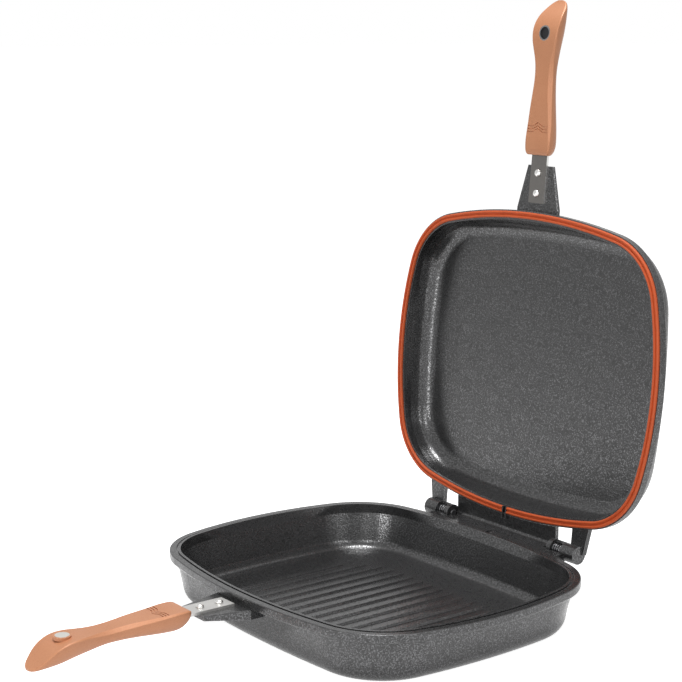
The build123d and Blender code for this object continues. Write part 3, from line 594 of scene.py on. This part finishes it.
# %% Spring
coil_points, wire_sides = 200, 14
coil, coil_in, coil_out = new_tree(
    "Coil",
    {
        "Turns": "NodeSocketFloat",
        "Flat turns": "NodeSocketFloat",
        "Coil radius": "NodeSocketFloat",
        "Wire radius": "NodeSocketFloat",
        "Length": "NodeSocketFloat",
        "Side": "NodeSocketFloat",
        "Finish": "NodeSocketMaterial",
    },
)
line = add_node(coil, "GeometryNodeCurvePrimitiveLine")
line.inputs["End"].default_value = (1, 0, 0)
points = add_node(coil, "GeometryNodeResampleCurve")
points.inputs["Count"].default_value = coil_points
share = add_node(coil, "GeometryNodeSplineParameter").outputs["Factor"]
turns, flat_turns, wire_radius, coil_length = (
    coil_in.outputs[name] for name in ("Turns", "Flat turns", "Wire radius", "Length")
)
turned = math_of(coil, "MULTIPLY", share, turns)
angle = math_of(coil, "MULTIPLY", turned, 2 * math.pi)
rising_turns = math_of(coil, "SUBTRACT", turns, math_of(coil, "MULTIPLY", flat_turns, 2.0))
past_flat = math_of(coil, "SUBTRACT", turned, flat_turns)
risen = math_of(coil, "DIVIDE", past_flat, rising_turns, clamp=True)
centre_length = math_of(coil, "SUBTRACT", coil_length, math_of(coil, "MULTIPLY", wire_radius, 2.0))
advance = math_of(coil, "ADD", math_of(coil, "MULTIPLY", risen, centre_length), wire_radius)
coil_place = add_node(coil, "ShaderNodeCombineXYZ")
for axis, amount, size in (
    ("X", advance, "Side"),
    ("Y", math_of(coil, "COSINE", angle), "Coil radius"),
    ("Z", math_of(coil, "SINE", angle), "Coil radius"),
):
    scaled = math_of(coil, "MULTIPLY", amount, coil_in.outputs[size])
    coil.links.new(scaled, coil_place.inputs[axis])
bend = add_node(coil, "GeometryNodeSetPosition")
wire = add_node(coil, "GeometryNodeCurvePrimitiveCircle")
wire.inputs["Resolution"].default_value = wire_sides
thicken = add_node(coil, "GeometryNodeCurveToMesh")
thicken.inputs["Fill Caps"].default_value = True
coil.links.new(line.outputs["Curve"], points.inputs["Curve"])
coil.links.new(points.outputs["Curve"], bend.inputs["Geometry"])
coil.links.new(coil_place.outputs["Vector"], bend.inputs["Position"])
coil.links.new(bend.outputs["Geometry"], thicken.inputs["Curve"])
coil.links.new(coil_in.outputs["Wire radius"], wire.inputs["Radius"])
coil.links.new(wire.outputs["Curve"], thicken.inputs["Profile Curve"])
end_tree(coil, (coil_in, coil_out), thicken.outputs["Mesh"])

spring_wire = steel("spring_wire", (0.30, 0.30, 0.31, 1), 0.3, even)
for side_name, side in (("left", -1), ("right", 1)):
    node_name = side_name + "_hinge_spring"
    low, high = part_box(node_name)
    length = high[0] - low[0]
    fixed_end = side * min(abs(low[0]), abs(high[0]))
    spring = grow(
        side_name + "_coil_spring",
        bpy.data.meshes.new("empty_start"),
        coil,
        {
            "Turns": 4.7,
            "Flat turns": 0.4,
            "Coil radius": 0.0040,
            "Wire radius": 0.0004,
            "Length": length,
            "Side": float(side),
            "Finish": spring_wire,
        },
        Matrix.Translation((fixed_end, hinge_y, hinge_z)),
    )
    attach(spring, "lower")
    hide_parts(node_name)
    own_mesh(spring)

# %% [markdown]
# ## Rivets
# Two solid rivets fix each strap. A rivet is turned round its axis, so one profile makes it: a
# domed head with a thin rim, a shank, and a flat upset tail. The tree then sets it down along the
# strap, so each row is an instance count, a first place and a step.


# %% Rivet
def lathe(name, profile, steps):
    """Turns a profile of radius and depth round the z axis. It starts and ends on the axis."""
    shell = bmesh.new()
    rings = []
    for radius, depth in profile:
        if radius == 0:
            rings.append([shell.verts.new((0, 0, depth))] * steps)
            continue
        turns = [2 * math.pi * step / steps for step in range(steps)]
        circle = [(radius * math.cos(t), radius * math.sin(t), depth) for t in turns]
        rings.append([shell.verts.new(place) for place in circle])
    for first, second in zip(rings, rings[1:]):
        for step in range(steps):
            following = (step + 1) % steps
            corners = [first[step], first[following], second[following], second[step]]
            shell.faces.new(list(dict.fromkeys(corners)))
    mesh = bpy.data.meshes.new(name)
    shell.to_mesh(mesh)
    shell.free()
    return mesh


head_radius, head_height, head_rim = 0.0033, 0.0025, 0.00035
shank_radius, shank_length = 0.0020, 0.0032
tail_radius, tail_height = 0.0030, 0.0011
tail_edge, tail_bevel = 0.0002, 0.0004
dome_steps, rivet_sides = 10, 40
dome = [
    (head_radius * math.sin(t), -head_rim - (head_height - head_rim) * math.cos(t))
    for t in [math.pi / 2 * step / dome_steps for step in range(dome_steps + 1)]
]
dome[0] = (0, -head_height)
rivet_profile = dome + [
    (head_radius - 0.0001, -0.00008),
    (head_radius - 0.0003, 0),
    (shank_radius, 0),
    (shank_radius, shank_length),
    (tail_radius - tail_edge, shank_length),
    (tail_radius, shank_length + tail_edge),
    (tail_radius, shank_length + tail_height - tail_bevel),
    (tail_radius - tail_bevel, shank_length + tail_height),
    (0, shank_length + tail_height),
]
rivet = bpy.data.objects.new("one_rivet", lathe("one_rivet", rivet_profile, rivet_sides))
bpy.context.scene.collection.objects.link(rivet)

row, row_in, row_out = new_tree(
    "Rivet row",
    {
        "Rivet": "NodeSocketObject",
        "First place": "NodeSocketVector",
        "Step": "NodeSocketVector",
        "Count": "NodeSocketInt",
        "Finish": "NodeSocketMaterial",
    },
)
places = add_node(row, "GeometryNodeMeshLine")
rivet_shape = add_node(row, "GeometryNodeObjectInfo")
set_down = add_node(row, "GeometryNodeInstanceOnPoints")
row.links.new(row_in.outputs["Count"], places.inputs["Count"])
row.links.new(row_in.outputs["First place"], places.inputs["Start Location"])
row.links.new(row_in.outputs["Step"], places.inputs["Offset"])
row.links.new(row_in.outputs["Rivet"], rivet_shape.inputs["Object"])
row.links.new(places.outputs["Mesh"], set_down.inputs["Points"])
row.links.new(rivet_shape.outputs["Geometry"], set_down.inputs["Instance"])
end_tree(row, (row_in, row_out), set_down.outputs["Instances"])

seam_height = 0.043
first_rivet_y, rivet_pitch, rivets_per_strap = -0.1610, 0.0170, 2
lower_place = Matrix.Translation((0, 0, seam_height)) @ Matrix.Rotation(math.pi, 4, "Y")
for half, body, placing, strap_depth in (
    ("lower", "lower", lower_place, 0.0052),
    ("upper", "lid", lid_place, 0.0074),
):
    rivets = grow(
        half + "_rivet_pair",
        bpy.data.meshes.new("empty_start"),
        row,
        {
            "Rivet": rivet,
            "First place": (0, first_rivet_y, strap_depth),
            "Step": (0, rivet_pitch, 0),
            "Count": rivets_per_strap,
            "Finish": rivet_steel,
        },
        placing,
    )
    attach(rivets, body)
    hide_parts(half + "_strap_rivets")
bpy.data.objects.remove(rivet)

# %% [markdown]
# ## Floor and light
# A studio shot like this one is all white: a white sweep under and behind, one soft lamp above,
# two in front and one on the right. The floor is a very large plane that the camera sees as white,
# while it still takes the pan's shadow. What the camera sees past it is the white world. Glossy
# pieces mirror both a little less bright than the camera sees them, and neither lights the pan
# much, so the coating stays dark.

# %% Floor
floor_half = 40.0
floor_glow = 0.91
mirror_level = 0.78


def white_seen(tree):
    """1 for the camera and through clear pieces, mirror_level in reflections, else 0."""
    seen = add_node(tree, "ShaderNodeLightPath")
    mirrored = math_of(tree, "MULTIPLY", seen.outputs["Is Glossy Ray"], mirror_level)
    direct = math_of(tree, "MAXIMUM", seen.outputs["Is Camera Ray"], mirrored)
    return math_of(tree, "MAXIMUM", direct, seen.outputs["Is Transmission Ray"])


floor_mesh = bpy.data.meshes.new("floor")
corners = [(x * floor_half, y * floor_half, 0) for x, y in ((-1, -1), (1, -1), (1, 1), (-1, 1))]
floor_mesh.from_pydata(corners, [], [(0, 1, 2, 3)])
floor = bpy.data.objects.new("floor", floor_mesh)
bpy.context.scene.collection.objects.link(floor)
floor_white, tree, shader = new_material("floor_white")
shader.inputs["Base Color"].default_value = (0.82, 0.82, 0.82, 1)
shader.inputs["Roughness"].default_value = 1.0
shader.inputs["Specular IOR Level"].default_value = 0.0
glow = math_of(tree, "MULTIPLY", white_seen(tree), floor_glow)
tree.links.new(glow, shader.inputs["Emission Strength"])
shader.inputs["Emission Color"].default_value = (1, 1, 1, 1)
floor.data.materials.append(floor_white)
print("floor", 2 * floor_half, "m across")


# %% Lamps and world
def softbox(name, place, aim, width, height, power):
    """A rectangular lamp at a place, turned to face a point."""
    lamp_data = bpy.data.lights.new(name, "AREA")
    lamp_data.shape = "RECTANGLE"
    lamp_data.size, lamp_data.size_y = width, height
    lamp_data.energy = power
    lamp = bpy.data.objects.new(name, lamp_data)
    lamp.location = place
    lamp.rotation_euler = (Vector(aim) - Vector(place)).to_track_quat("-Z", "Y").to_euler()
    bpy.context.scene.collection.objects.link(lamp)
    print("lamp", name, power, "W")


pan_middle = (0, 0.05, 0.15)
softbox("overhead", (0.0, 0.0, 2.2), pan_middle, 0.8, 0.8, 38)
softbox("front", (1.3, -1.75, 0.95), pan_middle, 0.9, 0.9, 10)
softbox("low front", (0.3, -2.2, 0.3), pan_middle, 0.7, 0.5, 7)
softbox("right", (2.2, 0.0, 0.9), pan_middle, 1.0, 1.0, 7)
world = bpy.data.worlds.new("white_studio")
bpy.context.scene.world = world
world.use_nodes = True
tree = world.node_tree
background = tree.nodes["Background"]
background.inputs["Color"].default_value = (1, 1, 1, 1)
plain_level = 0.15
strength = add_node(tree, "ShaderNodeMapRange", To_Min=plain_level, To_Max=1.0)
tree.links.new(white_seen(tree), strength.inputs["Value"])
tree.links.new(strength.outputs["Result"], background.inputs["Strength"])
bpy.context.scene.view_settings.view_transform = "Standard"
